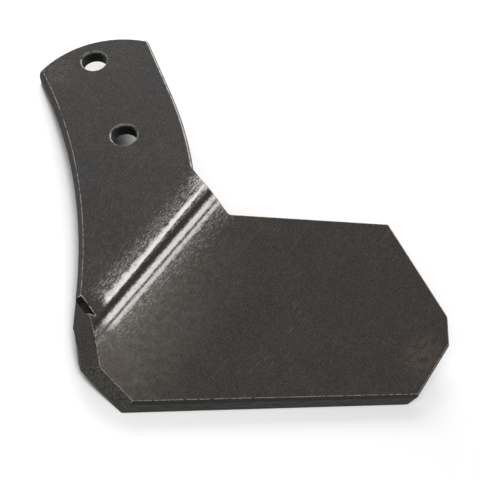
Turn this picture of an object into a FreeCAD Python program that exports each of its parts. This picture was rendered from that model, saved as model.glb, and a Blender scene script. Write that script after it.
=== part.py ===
# Cultivator sweep: one hand of a bolt-on blade, cut and bent from a single steel plate.
# A curved shank carries two bolt holes. Below it the plate is bent along a slanting line into a
# broad wing, whose nose and lower edge are ground to a bevel.
#
# The outline is drawn flat. Its zero point is where the shank's centre line meets the bend line,
# X runs along the cutting edge towards the outer end, Y runs up the wing and Z is 0 on the hollow
# side of the plate. The wing is then folded down and away from the shank.
#
# Last, the blade is laid on the ground as it comes to rest, hollow side down: on the whole length
# of its cutting edge and on one corner of the shank's end. There X runs along the cutting edge,
# Z is up, and the origin is on the ground below the middle of the blade.

import FreeCAD
import Part
import math
import os

V = FreeCAD.Vector

# Plate and bend
plate = 8.0
bend_angle = 40.0
inner_bend_radius = 16.0
bend_slope = 46.5              # bend line above the cutting edge, in degrees

# Wing
edge_drop = 79.0               # zero point down to the cutting edge
wing_height = 93.0             # cutting edge up to the wing's top edge
wing_reach = 167.0             # zero point out to the upright outer end
outer_end_height = 30.0        # cutting edge up to the foot of the outer end
outer_end_length = 14.0
upper_slant_run = 36.7         # how far the slant above the outer end runs in
lower_slant_run = 25.9         # and the slant below it
nose_edge_start = 21.0         # zero point back to the start of the cutting edge
nose_slant_run = 19.5
nose_slant_rise = 19.0
nose_top_reach = 47.4          # zero point back to the top of the nose
nose_top_height = 43.0         # cutting edge up to it
heel_height = 55.4             # cutting edge up to the corner between nose and shank
relief_mouth = 3.4               # width of the relief at the heel, along the cutting edge's line
relief_breakout = 0.3            # how far the relief's mouth passes the shank's edge
relief_floor = 1.5               # metal left under the relief, up from the shank's hollow side
relief_slope = 64.2              # steepness of the relief, in degrees
relief_length = 12.7             # along its side on the shank
relief_short_length = 10.3       # along its side on the nose

# Shank
shank_lean = 11.4              # centre line off upright, in degrees
lower_hole_distance = 68.7     # zero point up the centre line to the lower hole
hole_spacing = 54.0
hole_diameter = 13.0
hole_chamfer = 0.6
end_margin = 13.4              # upper hole's centre to the shank's end
end_radius = 49.1
end_centre_offset = 0.8        # how far that arc's centre lies out from the centre line
outer_edge_offset = 30.7       # centre line to the straight part of the outer edge
outer_edge_straight_foot = 17.0    # lower hole up to where that straight part ends
outer_edge_radius = 240.0
inner_edge_offset = 28.0       # centre line to the inner edge, midway between the holes
inner_edge_radius = 307.0
neck_corner_height = 118.3     # cutting edge up to the corner where the outer edge ends
neck_foot_reach = 34.2         # zero point out to where the wing's top edge starts
neck_edge_radius = 90.0        # of the hollow curve between the two
neck_foot_radius = 3.0
end_corner_radius = 3.5

# Edges
bevel_run = 5.0                # how far the ground bevel reaches in over the face
nose_bevel_run = 9.0           # the same along the nose
nose_bevel_lean = 9.5          # the nose bevel's line off upright, in degrees
cutting_land = 1.0             # blunt edge left below the bevel
inner_edge_chamfer = 2.5
outer_edge_chamfer = 1.1
end_chamfer = 0.8
outer_end_chamfer = 2.2
slant_chamfer = 1.0

# How finely the bend's sections and the search for the ground are stepped
bend_steps = 6
edge_samples = 60

# Values that follow from those above
outer_bend_radius = inner_bend_radius + plate
setback = outer_bend_radius * math.tan(math.radians(bend_angle) / 2)
reach = 4 * wing_reach
UP = V(0, 0, 1)
ALONG = V(math.cos(math.radians(bend_slope)), math.sin(math.radians(bend_slope)), 0)
ACROSS = ALONG.cross(UP)
SHANK_UP = V(-math.sin(math.radians(shank_lean)), math.cos(math.radians(shank_lean)), 0)
SHANK_OUT = V(SHANK_UP.y, -SHANK_UP.x, 0)
bend_axis_point = ACROSS * -setback - UP * inner_bend_radius
NOSE_UP = V(-math.sin(math.radians(nose_bevel_lean)), math.cos(math.radians(nose_bevel_lean)), 0)
NOSE_IN = V(NOSE_UP.y, -NOSE_UP.x, 0)

lower_hole = SHANK_UP * lower_hole_distance
upper_hole = SHANK_UP * (lower_hole_distance + hole_spacing)
holes = (lower_hole, upper_hole)


def on_shank(out, up):
    """A point of the flat shank, out from its centre line and up from the lower hole."""
    return lower_hole + SHANK_OUT * out + SHANK_UP * up


def arc_point(centre, radius, angle):
    """A point on a circle, at an angle from the X direction in radians."""
    return centre + V(radius * math.cos(angle), radius * math.sin(angle), 0)


def circle_meeting(centre_a, radius_a, centre_b, radius_b):
    """The upper of the two points where two circles meet."""
    gap = centre_b - centre_a
    apart = gap.Length
    along = (apart ** 2 + radius_a ** 2 - radius_b ** 2) / (2 * apart)
    aside = math.sqrt(radius_a ** 2 - along ** 2)
    direction = gap.normalize()
    side = V(-direction.y, direction.x, 0)
    return centre_a + direction * along + side * aside


def angle_of(point, centre):
    return math.atan2(point.y - centre.y, point.x - centre.x)


def arc(start, end, centre, radius):
    """The short arc between two points of one circle."""
    middle = (start + end) * 0.5 - centre
    return Part.Arc(start, centre + middle.normalize() * radius, end).toShape()


def hollow_arc(start, end, radius):
    """An arc that cuts into the blade between two corners of its outline."""
    half = (end - start) * 0.5
    centre = start + half + UP.cross(half).normalize() * math.sqrt(radius ** 2 - half.Length ** 2)
    return arc(start, end, centre, radius)


def line(start, end):
    return Part.LineSegment(start, end).toShape()


# Corners of the flat outline, from the shank's end clockwise
end_centre = on_shank(end_centre_offset, hole_spacing + end_margin - end_radius)
inner_centre = on_shank(-inner_edge_offset - inner_edge_radius, hole_spacing / 2)
inner_end_corner = circle_meeting(inner_centre, inner_edge_radius, end_centre, end_radius)
end_corner_out = outer_edge_offset - end_centre_offset
end_corner_up = math.sqrt(end_radius ** 2 - end_corner_out ** 2)
outer_end_corner = end_centre + SHANK_OUT * end_corner_out + SHANK_UP * end_corner_up
outer_centre = on_shank(outer_edge_offset - outer_edge_radius, outer_edge_straight_foot)
outer_kink = on_shank(outer_edge_offset, outer_edge_straight_foot)
neck_corner_y = neck_corner_height - edge_drop
neck_corner_x = outer_centre.x + math.sqrt(outer_edge_radius ** 2 - (neck_corner_y - outer_centre.y) ** 2)
neck_corner = V(neck_corner_x, neck_corner_y, 0)
top_y = wing_height - edge_drop
neck_foot = V(neck_foot_reach, top_y, 0)
top_outer = V(wing_reach - upper_slant_run, top_y, 0)
outer_foot_y = outer_end_height - edge_drop
outer_top = V(wing_reach, outer_foot_y + outer_end_length, 0)
outer_foot = V(wing_reach, outer_foot_y, 0)
edge_outer = V(wing_reach - lower_slant_run, -edge_drop, 0)
edge_nose = V(-nose_edge_start, -edge_drop, 0)
nose_corner = V(-nose_edge_start - nose_slant_run, -edge_drop + nose_slant_rise, 0)
nose_top = V(-nose_top_reach, nose_top_height - edge_drop, 0)
heel_y = heel_height - edge_drop
heel_x = inner_centre.x + math.sqrt(inner_edge_radius ** 2 - (heel_y - inner_centre.y) ** 2)
heel = V(heel_x, heel_y, 0)


def blank_face():
    """The flat outline as one face on the plate's hollow side."""
    edges = [
        arc(inner_end_corner, outer_end_corner, end_centre, end_radius),
        line(outer_end_corner, outer_kink),
        arc(outer_kink, neck_corner, outer_centre, outer_edge_radius),
        hollow_arc(neck_corner, neck_foot, neck_edge_radius),
        line(neck_foot, top_outer),
        line(top_outer, outer_top),
        line(outer_top, outer_foot),
        line(outer_foot, edge_outer),
        line(edge_outer, edge_nose),
        line(edge_nose, nose_corner),
        line(nose_corner, nose_top),
        line(nose_top, heel),
        arc(heel, inner_end_corner, inner_centre, inner_edge_radius),
    ]
    return Part.Face(Part.Wire(edges))


def upright_edges(solid, corners):
    """The solid's edges that stand on the given corners of the outline."""
    found = []
    for edge in solid.Edges:
        points = [vertex.Point for vertex in edge.Vertexes]
        for corner in corners:
            if len(points) == 2 and all(math.hypot(p.x - corner.x, p.y - corner.y) < 0.01 for p in points):
                found.append(edge)
    return found


def front_edge(solid, place):
    """The edge of the plate's front face that passes nearest to a place."""
    front = [e for e in solid.Edges if all(abs(v.Point.z - plate) < 0.001 for v in e.Vertexes)]
    return min(front, key=lambda e: e.distToShape(Part.Vertex(place + UP * plate))[0])


def hole_body(centre):
    """The metal that one bolt hole takes away, with its lightly broken rims."""
    radius = hole_diameter / 2
    drill = Part.makeCylinder(radius, 3 * plate, centre - UP * plate)
    back = Part.makeCone(radius + hole_chamfer, radius, hole_chamfer, centre)
    front = Part.makeCone(radius + hole_chamfer, radius, hole_chamfer, centre + UP * plate, -UP)
    return drill.fuse([back, front])


def beyond(offset, direction):
    """A large block past a line that stands across a direction, at an offset along it."""
    block = Part.makeBox(reach, reach, reach, V(offset, -reach / 2, -reach / 2))
    block.rotate(V(), UP, math.degrees(math.atan2(direction.y, direction.x)))
    return block


def bevel_cutter(start, end, run):
    """What grinding takes off along a line, with the blade's face on its left as it is followed."""
    direction = (end - start).normalize()
    outwards = UP.cross(direction)
    slope = run / (plate - cutting_land)
    high = 2 * plate
    low = cutting_land - 4 * plate
    profile = []
    for level in (high, low):
        profile.append(start - direction * plate - outwards * slope * (level - cutting_land) + UP * level)
    profile.append(profile[1] + outwards * reach)
    profile.append(profile[1] + outwards * reach + UP * (high - low))
    face = Part.Face(Part.makePolygon(profile + profile[:1]))
    return face.extrude(direction * ((end - start).Length + 2 * plate))


def bevels():
    """The ground edges of the flat wing: the cutting edge, the nose slant and the nose."""
    nose_foot = nose_top - NOSE_UP * (nose_top_height + plate)
    nose_bevel = bevel_cutter(nose_foot, nose_top + NOSE_UP * plate, nose_bevel_run)
    below_heel = beyond(-heel.dot(ALONG), -ALONG)
    return (bevel_cutter(edge_outer, edge_nose, bevel_run),
            bevel_cutter(edge_nose, nose_corner, bevel_run),
            nose_bevel.common(below_heel))


def flat_blank():
    """The cut plate before it is bent, with its holes, ground bevels and dressed front edges."""
    plain = blank_face().extrude(UP * plate)
    plain = plain.makeFillet(neck_foot_radius, upright_edges(plain, (neck_foot,))).Solids[0]
    rounded = plain.makeFillet(end_corner_radius, upright_edges(plain, (inner_end_corner, outer_end_corner)))
    inner_edge = arc_point(inner_centre, inner_edge_radius, angle_of(lower_hole, inner_centre))
    dressed = ((inner_edge_chamfer, inner_edge),
               (outer_edge_chamfer, (outer_kink + outer_end_corner) * 0.5),
               (end_chamfer, end_centre + SHANK_UP * end_radius),
               (outer_end_chamfer, (outer_top + outer_foot) * 0.5),
               (outer_end_chamfer, (outer_foot + edge_outer) * 0.5),
               (slant_chamfer, (top_outer + outer_top) * 0.5))
    blank = plain
    for depth, place in dressed:
        blank = blank.makeChamfer(depth, [front_edge(blank, place)]).Solids[0]
    blank = blank.common(rounded).Solids[0]
    for cutter in [hole_body(centre) for centre in holes] + list(bevels()):
        blank = blank.cut(cutter).Solids[0]
    return blank


def edge_positions(face, across):
    """Where a line parallel to the bend leaves the outline on either side."""
    middle = ACROSS * across
    probe = line(middle - ALONG * reach, middle + ALONG * reach).common(face)
    places = [vertex.Point.dot(ALONG) for vertex in probe.Vertexes]
    return min(places), max(places)


def bend_section(face, step, margin):
    """The plate's cross-section at one angle of the bend, thicker than the plate by the margin."""
    share = step / bend_steps
    angle = math.radians(bend_angle) * share
    across = setback * (2 * share - 1)
    outwards = UP * math.cos(angle) + ACROSS * math.sin(angle)
    slope = nose_bevel_run / (plate - cutting_land)
    low, high = edge_positions(face, across)
    depth_at_low = (ACROSS * across + ALONG * low - nose_top).dot(NOSE_IN)
    depth_at_top = slope * (plate + margin - cutting_land)
    bevelled = low + (depth_at_top - depth_at_low) / ALONG.dot(NOSE_IN)
    corners = []
    places = [(-margin, low), (cutting_land + depth_at_low / slope, low), (plate + margin, bevelled)]
    places += [(plate + margin, high), (-margin, high)]
    for level, place in places:
        corners.append(bend_axis_point + outwards * (inner_bend_radius + level) + ALONG * place)
    return Part.makePolygon(corners + corners[:1])


def bend_zone(face):
    """The curved strip between the two flats, cut at its ends as the outline crosses it."""
    start = bend_axis_point - ALONG * reach
    ring = Part.makeCylinder(outer_bend_radius, 2 * reach, start, ALONG)
    ring = ring.cut(Part.makeCylinder(inner_bend_radius, 2 * reach, start, ALONG))
    sections = [bend_section(face, step, plate / 4) for step in range(bend_steps + 1)]
    return ring.common(Part.makeLoft(sections, True))


def folded(shape):
    """A shape of the flat wing, moved to where the bend carries it."""
    moved = shape.copy()
    moved.translate(ACROSS * (-2 * setback))
    moved.rotate(bend_axis_point, ALONG, bend_angle)
    return moved


def heel_relief():
    """The relief, ground in after bending, that sets the nose off from the shank's edge."""
    slope = math.radians(relief_slope)
    inwards = V(math.cos(slope), -math.sin(slope), 0)
    on_nose = heel - V(relief_breakout, 0, 0)
    on_shank_side = on_nose + V(relief_mouth, 0, 0)
    corners = [on_nose, on_shank_side, on_shank_side + inwards * relief_length]
    corners.append(on_nose + inwards * relief_short_length)
    relief = Part.Face(Part.makePolygon(corners + corners[:1])).extrude(UP * 2 * plate)
    relief.translate(UP * relief_floor)
    return relief


def bent_blade():
    """The whole blade with the shank still flat in the XY plane."""
    blank = flat_blank()
    shank = blank.common(beyond(setback, -ACROSS))
    wing = folded(blank.common(beyond(setback, ACROSS)))
    bent = shank.fuse([bend_zone(blank_face()), wing]).removeSplitter().Solids[0]
    return bent.cut(heel_relief()).Solids[0]


def ground_normal(edge_start, edge_end, outline):
    """The upward normal of the ground under the cutting edge and the lowest place of an outline."""
    normals = [(edge_end - edge_start).cross(point - edge_start).normalize() for point in outline]
    return max(normals, key=lambda normal: min((point - edge_start).dot(normal) for point in outline))


def laid_down(blade):
    """The bent blade resting on the ground with its cutting edge along X."""
    nose_end, outer_end = (Part.Vertex(corner) for corner in (edge_nose, edge_outer))
    nose_end, outer_end = folded(nose_end).Point, folded(outer_end).Point
    hollow_side = [p for edge in blade.Edges for p in edge.discretize(edge_samples) if abs(p.z) < 0.001]
    up = ground_normal(nose_end, outer_end, hollow_side)
    along = (outer_end - nose_end).normalize()
    back = up.cross(along)
    turn = FreeCAD.Matrix(along.x, along.y, along.z, 0, back.x, back.y, back.z, 0, up.x, up.y, up.z, 0)
    laid = blade.transformShape(turn, True)
    box = laid.optimalBoundingBox(False, False)
    laid.translate(V(-box.Center.x, -box.Center.y, -box.ZMin))
    return laid


blade = laid_down(bent_blade())
os.makedirs("parts", exist_ok=True)
blade.exportStep("parts/sweep_blade.step")
print("solids", len(blade.Solids), "valid", blade.isValid(), "volume", round(blade.Volume, 1))
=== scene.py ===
import math
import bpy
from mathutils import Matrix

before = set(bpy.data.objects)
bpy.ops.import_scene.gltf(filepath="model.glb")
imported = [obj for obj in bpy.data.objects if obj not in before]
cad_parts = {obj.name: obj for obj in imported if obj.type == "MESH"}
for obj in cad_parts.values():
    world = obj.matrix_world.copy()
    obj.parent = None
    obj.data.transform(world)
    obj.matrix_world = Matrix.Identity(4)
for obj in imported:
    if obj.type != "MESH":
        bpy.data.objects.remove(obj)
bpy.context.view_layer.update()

from types import SimpleNamespace

import bpy
from mathutils import Matrix, Vector

MM_PER_METRE = 1000.0

# Directions of the blade as it lies: along the bend, across it on the shank, and out of the shank's face
ALONG = Vector((0.688355, 0.666058, 0.287288))
ACROSS = Vector((0.555669, -0.738769, 0.381382))
FRONT = Vector((-0.466262, 0.102889, 0.878643))

# A point on the bend's axis, in metres, and the face's radius about it, in mm
BEND_AXIS = Vector((-0.055874, -0.028511, 0.014215))
BEND_RADIUS = 24.0
BEND_ANGLE = math.radians(40)

# Level and square to the cutting edge, and out of the chamfers on the shank's outer edge and the wing's
# slant, which get a painted highlight
FORWARD = (0, -1, 0)
LIT_CHAMFER_FACING = (0.45, 0.10, 0.887)

# The middles of the two bolt holes, in metres, and how far from their axes the painted shade on their walls
# reaches, in mm
HOLES = (Vector((-0.064386, 0.034928, 0.025032)), Vector((-0.067562, 0.088249, 0.017103)))
HOLE_RADIUS = 6.6
HOLE_FADE = 0.15

# Colours of the scale, and of the painted shade and light on the shank and wing
SCALE_DARK = (0.023, 0.020, 0.017)
SCALE_BROWN = (0.034, 0.030, 0.026)
SCALE_PURPLE = (0.031, 0.026, 0.028)
SCALE_WARM = (0.044, 0.031, 0.025)
SCALE_BLUE = (0.023, 0.026, 0.027)
MOTTLE_PALE = (0.052, 0.046, 0.041)
MOTTLE_DARK = (0.014, 0.012, 0.010)
GRAIN_PALE = (0.095, 0.085, 0.076)
# Nearly black: the dark grain, and painted shade up the shank and along the bend
NEARLY_BLACK = (0.010, 0.009, 0.008)
# Painted light on the wing's face
WING_PAINTED_LIGHT = (0.080, 0.072, 0.065)
# Painted highlight: a soft sheen on the wing beside the bend
SHEEN_DARK = (0.098, 0.088, 0.078)
SHEEN_PALE = (0.150, 0.136, 0.122)
SCRATCH = (0.11, 0.10, 0.09)

# Soft spots on the scale, rusty on the wing, bluish beside the neck and on the shank, pale at its end:
# along the bend, unrolled across it and reach, in mm, then strength and colour
SPOTS = (
    (-64.0, 28.0, 13.0, 0.8, (0.105, 0.062, 0.058)),
    (61.0, 152.0, 16.0, 0.9, (0.105, 0.078, 0.060)),
    (90.0, 84.0, 24.0, 0.4, (0.060, 0.044, 0.036)),
    (25.0, 22.0, 13.0, 0.6, (0.030, 0.033, 0.040)),
    (8.0, -48.0, 20.0, 0.7, (0.017, 0.019, 0.024)),
    (76.0, -50.0, 27.0, 0.8, (0.015, 0.016, 0.020)),
    (53.0, -104.0, 15.0, 0.7, (0.060, 0.055, 0.049)),
)

# Colours of the ground bevels, of the painted shade on the upper cutting bevel and in the holes, and of the
# metal that has been rubbed bare, which also stands in for painted highlights
GROUND_DARK = (0.018, 0.017, 0.015)
GROUND_PALE = (0.048, 0.045, 0.040)
# Painted shade for the upper part of the cutting bevel
GROUND_UPPER_SHADE = (0.008, 0.008, 0.007)
SLANT_STREAKS = (0.078, 0.070, 0.058)
# Painted shade for the walls of the bolt holes
BORE_SHADE = (0.012, 0.011, 0.010)
# Bare metal along the bend, which also stands in for a painted highlight there
PRESSED_AND_HIGHLIGHT = (0.66, 0.64, 0.62)
# Bare metal on the edges, which also stands in for a painted highlight there
EDGE_WEAR_AND_HIGHLIGHT = (0.52, 0.50, 0.48)
GLOSS = 0.14

# How wide the worn edges with their painted highlight are, and how deep the scale's grain is, in metres
EDGE_WIDTH = 0.0006
GRAIN_DEPTH = 0.0003

FLOOR_SIZE = 6.0
FLOOR_SHADE_REACH = 0.15
FLOOR_SHADED = (0.05, 0.05, 0.05)
FLOOR_PALE = (0.92, 0.92, 0.92)
FLOOR_GLOW = 0.20
WHITE = (1.0, 1.0, 1.0)
WORLD_LIGHT = 0.28

# Name, place, size and power of the lamps, which point at the origin
LAMPS = (
    ("key", Vector((-0.55, -0.40, 0.85)), 0.7, 6.4),
    ("back", Vector((-0.10, 0.90, 0.55)), 0.8, 9.0),
)

# The camera's place in metres and its axes, with its lens and sensor in mm
CAMERA_PLACE = (-0.309727, -0.306911, 0.460929)
CAMERA_RIGHT = (0.86764, -0.228413, 0.44162)
CAMERA_UP = (-0.044244, 0.849233, 0.526161)
CAMERA_BACK = (-0.49522, -0.476057, 0.726723)
LENS = 90.0
SENSOR_WIDTH = 36.0


class Nodes:
    """The nodes of a material or world, made and linked by short calls."""

    def __init__(self, owner):
        owner.use_nodes = True
        self.owner = owner
        self.tree = owner.node_tree
        self.tree.nodes.clear()

    def add(self, kind, inputs, **settings):
        node = self.tree.nodes.new("ShaderNode" + kind)
        for key, value in settings.items():
            setattr(node, key, value)
        for key, value in inputs.items():
            self.put(node.inputs[key], value)
        return node

    def put(self, socket, value):
        if isinstance(value, bpy.types.NodeSocket):
            self.tree.links.new(value, socket)
        elif socket.type == "RGBA":
            socket.default_value = (*value, 1.0)
        else:
            socket.default_value = value

    def math(self, operation, *values):
        return self.add("Math", dict(enumerate(values)), operation=operation).outputs[0]

    def chain(self, operation, total, *values):
        for value in values:
            total = self.math(operation, total, value)
        return total

    def sum(self, *values):
        return self.chain("ADD", *values)

    def product(self, *values):
        return self.chain("MULTIPLY", *values)

    def largest(self, *values):
        return self.chain("MAXIMUM", *values)

    def difference(self, first, second):
        return self.math("SUBTRACT", first, second)

    def vector(self, operation, output, *values):
        return self.add("VectorMath", dict(enumerate(values)), operation=operation).outputs[output]

    def dot(self, vector, direction):
        return self.vector("DOT_PRODUCT", "Value", vector, direction)

    def noise(self, vector, scale, detail, roughness, distortion=0.0):
        inputs = {"Vector": vector, "Scale": scale, "Detail": detail, "Roughness": roughness,
                  "Distortion": distortion}
        return self.add("TexNoise", inputs).outputs["Fac"]

    def ramp(self, value, low, high, start=0.0, end=1.0):
        """A smooth step from start, where the value is low, to end, where it is high."""
        inputs = {"Value": value, "From Min": low, "From Max": high, "To Min": start, "To Max": end}
        return self.add("MapRange", inputs, interpolation_type="SMOOTHSTEP").outputs["Result"]

    def mix(self, amount, first, second):
        inputs = {"Factor": amount, "A": first, "B": second}
        return self.add("Mix", inputs, data_type="RGBA").outputs["Result"]


def unrolled_blade(n):
    """Where a place lies on the unrolled plate, in mm, and what kind of surface it is on.

    The distance across is 0 where the bend starts on the shank and 16.8 where it ends on the wing.
    The depth is how far a place lies below the face. The facing is 1 on the face, about 0.7 on a
    chamfer or ground bevel, and 0 on a cut wall, so face is 1 on the face alone, and ground is 1 on
    chamfers, bevels and walls.
    """
    coordinates = n.add("TexCoord", {})
    normal = coordinates.outputs["Normal"]
    to_mm = (MM_PER_METRE, MM_PER_METRE, MM_PER_METRE)
    place = n.vector("MULTIPLY", "Vector", coordinates.outputs["Object"], to_mm)
    from_axis = n.vector("SUBTRACT", "Vector", place, BEND_AXIS * MM_PER_METRE)
    along = n.dot(from_axis, ALONG)
    across = n.dot(from_axis, ACROSS)
    out = n.dot(from_axis, FRONT)

    angle = n.math("MINIMUM", n.largest(n.math("ARCTAN2", across, out), 0.0), BEND_ANGLE)
    sine = n.math("SINE", angle)
    cosine = n.math("COSINE", angle)
    on_shank = n.math("MINIMUM", across, 0.0)
    on_wing = n.difference(n.product(across, math.cos(BEND_ANGLE)), n.product(out, math.sin(BEND_ANGLE)))
    unrolled = n.sum(on_shank, n.product(angle, BEND_RADIUS), n.largest(on_wing, 0.0))

    facing = n.sum(n.product(n.dot(normal, FRONT), cosine), n.product(n.dot(normal, ACROSS), sine))
    above_axis = n.sum(n.product(out, cosine), n.product(across, sine))
    depth = n.difference(BEND_RADIUS, above_axis)
    return SimpleNamespace(place=place, normal=normal, along=along, unrolled=unrolled, depth=depth,
                           face=n.ramp(facing, 0.93, 0.98),
                           ground=n.product(n.ramp(facing, 0.9, 0.8), n.ramp(facing, -0.15, -0.05)))


def stretched_along(n, at, factor):
    """Places on the unrolled plate. A factor under 1 draws a pattern out along the bend."""
    return n.add("CombineXYZ", {"X": n.product(at.along, factor), "Y": at.unrolled}).outputs[0]


def inside_holes(n, place):
    """1 on the walls of the bolt holes."""
    inside = 0.0
    for hole in HOLES:
        offset = n.vector("SUBTRACT", "Vector", place, hole * MM_PER_METRE)
        off_axis = n.vector("CROSS_PRODUCT", "Vector", offset, FRONT)
        distance = n.vector("LENGTH", "Value", off_axis)
        inside = n.largest(inside, n.ramp(distance, HOLE_RADIUS + HOLE_FADE, HOLE_RADIUS))
    return inside


def mill_scale_and_painted_light(n, at):
    """Dark scale with fine speckle and soft warm, bluish and purplish patches, with painted shade up the
    shank and painted light and sheen on the wing.
    """
    patch = n.noise(at.place, 0.05, 4.0, 0.6, 0.4)
    cloud = n.noise(at.place, 0.018, 3.0, 0.55, 0.6)
    tint = n.noise(at.place, 0.11, 3.0, 0.6, 0.8)
    mottle = n.noise(at.place, 0.35, 4.0, 0.65)
    grain = n.noise(at.place, 1.5, 3.0, 0.7)
    scale = n.mix(n.ramp(patch, 0.35, 0.65), SCALE_DARK, SCALE_BROWN)
    scale = n.mix(n.product(n.ramp(cloud, 0.5, 0.7), 0.6), scale, SCALE_PURPLE)
    scale = n.mix(n.product(n.ramp(tint, 0.58, 0.75), 0.7), scale, SCALE_WARM)
    scale = n.mix(n.product(n.ramp(tint, 0.42, 0.28), 0.7), scale, SCALE_BLUE)
    scale = n.mix(n.product(n.ramp(mottle, 0.50, 0.70), 0.5), scale, MOTTLE_PALE)
    scale = n.mix(n.product(n.ramp(mottle, 0.50, 0.32), 0.5), scale, MOTTLE_DARK)

    # Painted shade up the shank and painted light on the wing, for how the two faces catch the light
    scale = n.mix(n.ramp(at.unrolled, 0.0, -60.0, 0.14, 0.40), scale, NEARLY_BLACK)
    scale = n.mix(n.ramp(at.unrolled, 8.0, 20.0, 0.0, 0.30), scale, WING_PAINTED_LIGHT)

    # Painted highlight: a soft mottled sheen on the wing beside the bend, most towards the nose
    beside = n.product(n.ramp(at.unrolled, 66.0, 16.0), n.ramp(at.unrolled, 10.0, 16.0))
    painted_sheen = n.product(beside, n.ramp(at.along, 45.0, -60.0, 0.1, 1.0))
    scale = n.mix(painted_sheen, scale, n.mix(n.ramp(mottle, 0.35, 0.65), SHEEN_DARK, SHEEN_PALE))

    # Soft spots, broken up by the mottling
    on_plate = stretched_along(n, at, 1.0)
    broken = n.ramp(n.sum(n.product(mottle, 0.5), n.product(grain, 0.5)), 0.40, 0.60)
    for spot_along, spot_unrolled, reach, strength, tone in SPOTS:
        distance = n.vector("DISTANCE", "Value", on_plate, (spot_along, spot_unrolled, 0.0))
        near = n.ramp(distance, reach, reach * 0.2)
        scale = n.mix(n.product(near, broken, strength), scale, tone)

    # Light scratches along the wing, and fine grain all over
    streaks = n.noise(stretched_along(n, at, 0.10), 0.9, 4.0, 0.7)
    scratches = n.product(n.ramp(streaks, 0.56, 0.66), n.ramp(patch, 0.47, 0.57),
                          n.ramp(at.unrolled, 17.0, 24.0), 0.6)
    scale = n.mix(scratches, scale, SCRATCH)
    scale = n.mix(n.product(n.ramp(grain, 0.50, 0.68), 0.55), scale, GRAIN_PALE)
    return n.mix(n.product(n.ramp(grain, 0.50, 0.32), 0.60), scale, NEARLY_BLACK)


def press_wear_and_highlights(n, at):
    """How far the scale is worn away in the three bands that the press left along the bend, with a painted
    highlight where the bend catches the light, widest near the neck.
    """
    streaks = n.noise(stretched_along(n, at, 0.3), 1.1, 4.0, 0.7)
    specks = n.noise(at.place, 1.7, 3.0, 0.7)
    grain = n.sum(n.product(streaks, 0.8), n.product(specks, 0.8), -0.3)
    wander = n.product(n.difference(n.noise(at.place, 0.2, 3.0, 0.6), 0.5), 2.0)
    wavy = n.sum(at.unrolled, wander)
    wavy_along = n.sum(at.along, wander)
    lower = n.ramp(at.along, 40.0, -45.0)
    near_neck = n.ramp(at.along, 26.0, 44.0, 0.42, 0.95)

    # The band on the shank's side widens towards the nose and stops short of it
    centre = n.sum(4.3, n.product(lower, 1.5))
    start = n.difference(centre, n.sum(2.4, n.product(lower, 3.0)))
    band = n.product(n.ramp(wavy, start, n.sum(centre, 0.3)),
                     n.ramp(at.unrolled, n.sum(centre, 2.1), n.sum(centre, 0.6)))
    # Painted highlight: a soft haze beside the band, strongest near the neck
    highlight_haze = n.product(n.ramp(wavy, -11.0, 3.5), n.ramp(at.unrolled, 8.5, 6.5), near_neck)
    first = n.product(n.largest(band, highlight_haze), n.ramp(wavy_along, -47.0, -39.0))

    # The two bands on the wing's side run on to the nose, fainter
    second = n.product(n.ramp(at.unrolled, 9.2, 11.5), n.ramp(at.unrolled, 14.2, 12.6))
    third = n.product(n.ramp(at.unrolled, 13.2, 15.0), n.ramp(wavy, 18.8, 15.0), 0.95)
    # Painted highlight: a soft haze beside the two bands, strongest near the neck
    highlight_haze = n.product(n.ramp(at.unrolled, 11.8, 12.6), n.ramp(wavy, 34.0, 15.0), near_neck)
    pair = n.product(n.largest(second, third, highlight_haze), n.ramp(wavy_along, -53.0, -46.0, 0.45, 1.0))

    softer_at_neck = n.ramp(at.along, 22.0, 48.0, 1.0, 0.80)
    wear_and_highlight = n.product(n.largest(first, pair), softer_at_neck, at.face)
    threshold = n.difference(0.58, n.product(wear_and_highlight, 0.43))
    return n.product(n.ramp(grain, threshold, n.sum(threshold, 0.34)),
                     n.sum(0.2, n.product(wear_and_highlight, 0.8)), at.face)


def ground_steel(n, at):
    """The streaked steel of the ground bevels and cut walls, with painted shade on the upper part of the
    cutting bevel.
    """
    stretched = n.vector("MULTIPLY", "Vector", at.place, (0.12, 1.0, 1.0))
    strokes = n.noise(stretched, 1.3, 4.0, 0.7)
    steel = n.mix(n.ramp(strokes, 0.35, 0.65), GROUND_DARK, GROUND_PALE)
    forward = n.dot(at.normal, FORWARD)
    # Painted shade along the upper part of the cutting bevel
    upper_shade = n.product(n.ramp(forward, 0.93, 0.96), n.ramp(at.depth, 3.0, 2.2), 0.9)
    steel = n.mix(upper_shade, steel, GROUND_UPPER_SHADE)
    slant = n.product(n.ramp(forward, 0.60, 0.70), n.ramp(forward, 0.90, 0.84))
    return n.mix(n.product(slant, n.ramp(strokes, 0.4, 0.6), 0.6), steel, SLANT_STREAKS)


def edge_wear_and_highlights(n, at):
    """How bright the front edges are, rubbed bare and given a painted highlight, most on the chamfers that
    face up and outwards, towards the light.
    """
    rounded = n.add("Bevel", {"Radius": EDGE_WIDTH}, samples=8).outputs["Normal"]
    flat = n.add("NewGeometry", {}).outputs["Normal"]
    turned = n.ramp(n.dot(rounded, flat), 0.998, 0.96)
    nicks = n.ramp(n.noise(at.place, 0.45, 4.0, 0.75), 0.38, 0.56)
    edge = n.product(turned, nicks, n.ramp(at.depth, 1.6, 0.7))
    # Painted highlight on the chamfers that face the light
    lit_chamfers = n.product(n.ramp(n.dot(at.normal, LIT_CHAMFER_FACING), 0.90, 0.95),
                        n.ramp(at.depth, 0.8, 0.45), n.sum(0.45, n.product(nicks, 0.55)))
    return n.largest(n.product(edge, 0.75), lit_chamfers)


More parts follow.
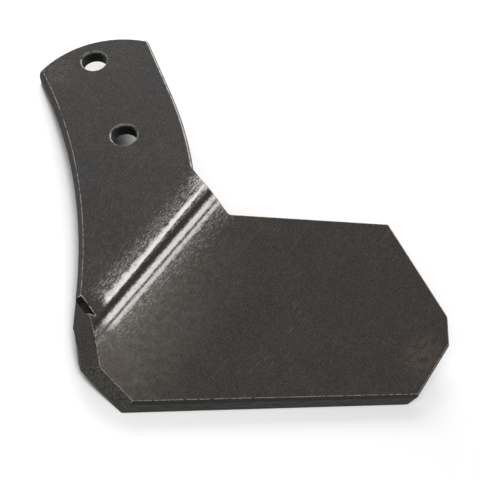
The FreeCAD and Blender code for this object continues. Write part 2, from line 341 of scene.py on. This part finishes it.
def blade_steel():
    """Dark rolled steel, rubbed bright with painted highlights along the bend and the edges, with ground
    bevels.
    """
    n = Nodes(bpy.data.materials.new("blade_steel"))
    at = unrolled_blade(n)
    base = n.mix(at.ground, mill_scale_and_painted_light(n, at), ground_steel(n, at))
    # Painted shade on the walls of the bolt holes
    base = n.mix(inside_holes(n, at.place), base, BORE_SHADE)
    # Painted shade: a dark band along the middle of the bend, between the bright bands
    valley_shade = n.product(n.ramp(at.unrolled, 7.2, 8.6), n.ramp(at.unrolled, 9.9, 8.9), at.face, 0.7)
    base = n.mix(valley_shade, base, NEARLY_BLACK)
    # Bright bands along the bend: worn scale and a painted highlight
    bend_bright = press_wear_and_highlights(n, at)
    base = n.mix(bend_bright, base, PRESSED_AND_HIGHLIGHT)
    # Bright edges: rubbed bare and a painted highlight
    edge_bright = edge_wear_and_highlights(n, at)
    base = n.mix(edge_bright, base, EDGE_WEAR_AND_HIGHLIGHT)

    bright = n.largest(bend_bright, edge_bright)
    grain = n.noise(at.place, 1.3, 4.0, 0.7)
    height = n.sum(n.product(grain, 0.5), n.product(bend_bright, -0.4))
    bump = n.add("Bump", {"Height": height, "Strength": 0.4, "Distance": GRAIN_DEPTH})
    shader = n.add("BsdfPrincipled", {
        "Base Color": base,
        "Metallic": n.product(bright, 0.3),
        "Roughness": n.sum(0.5, n.product(grain, 0.12), n.product(bright, -0.06)),
        "Normal": bump.outputs["Normal"],
        "Specular IOR Level": GLOSS,
    })
    n.add("OutputMaterial", {"Surface": shader.outputs[0]})
    return n.owner


def seen_directly(n):
    """1 for a ray from the camera, a mirror or through glass."""
    rays = n.add("LightPath", {}).outputs
    return n.largest(rays["Is Camera Ray"], rays["Is Glossy Ray"], rays["Is Transmission Ray"])


def pale_floor():
    """A pale floor, with painted shade under the blade."""
    n = Nodes(bpy.data.materials.new("pale_floor"))
    sky_above = n.add("AmbientOcclusion", {"Distance": FLOOR_SHADE_REACH}, samples=32).outputs["AO"]
    open_floor = n.ramp(sky_above, 0.24, 0.48)
    diffuse = n.add("BsdfDiffuse", {"Color": n.mix(open_floor, FLOOR_SHADED, FLOOR_PALE)})
    level = n.product(seen_directly(n), open_floor, FLOOR_GLOW)
    glow = n.add("Emission", {"Color": WHITE, "Strength": level})
    both = n.add("AddShader", {0: diffuse.outputs[0], 1: glow.outputs[0]})
    n.add("OutputMaterial", {"Surface": both.outputs[0]})
    return n.owner


def pale_world():
    """A world that is white where it is seen directly, and lights the blade softly."""
    n = Nodes(bpy.data.worlds.new("studio"))
    strength = n.ramp(seen_directly(n), 0.0, 1.0, WORLD_LIGHT, 1.0)
    background = n.add("Background", {"Color": WHITE, "Strength": strength})
    n.add("OutputWorld", {"Surface": background.outputs[0]})
    return n.owner


def add_lamp(name, place, size, power):
    data = bpy.data.lights.new(name, "AREA")
    data.shape = "SQUARE"
    data.size = size
    data.energy = power
    lamp = bpy.data.objects.new(name, data)
    lamp.location = place
    lamp.rotation_euler = (-place).to_track_quat("-Z", "Y").to_euler()
    bpy.context.collection.objects.link(lamp)


def add_camera():
    data = bpy.data.cameras.new("camera")
    data.lens = LENS
    data.sensor_width = SENSOR_WIDTH
    camera = bpy.data.objects.new("camera", data)
    axes = Matrix((CAMERA_RIGHT, CAMERA_UP, CAMERA_BACK)).transposed()
    camera.matrix_world = Matrix.Translation(CAMERA_PLACE) @ axes.to_4x4()
    bpy.context.collection.objects.link(camera)
    return camera


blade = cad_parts["sweep_blade"]
blade.data.materials.clear()
blade.data.materials.append(blade_steel())

bpy.ops.mesh.primitive_plane_add(size=FLOOR_SIZE)
floor = bpy.context.object
floor.name = "floor"
floor.data.materials.append(pale_floor())

bpy.context.scene.world = pale_world()
for lamp_values in LAMPS:
    add_lamp(*lamp_values)
bpy.context.scene.camera = add_camera()
bpy.context.scene.view_settings.view_transform = "Standard"
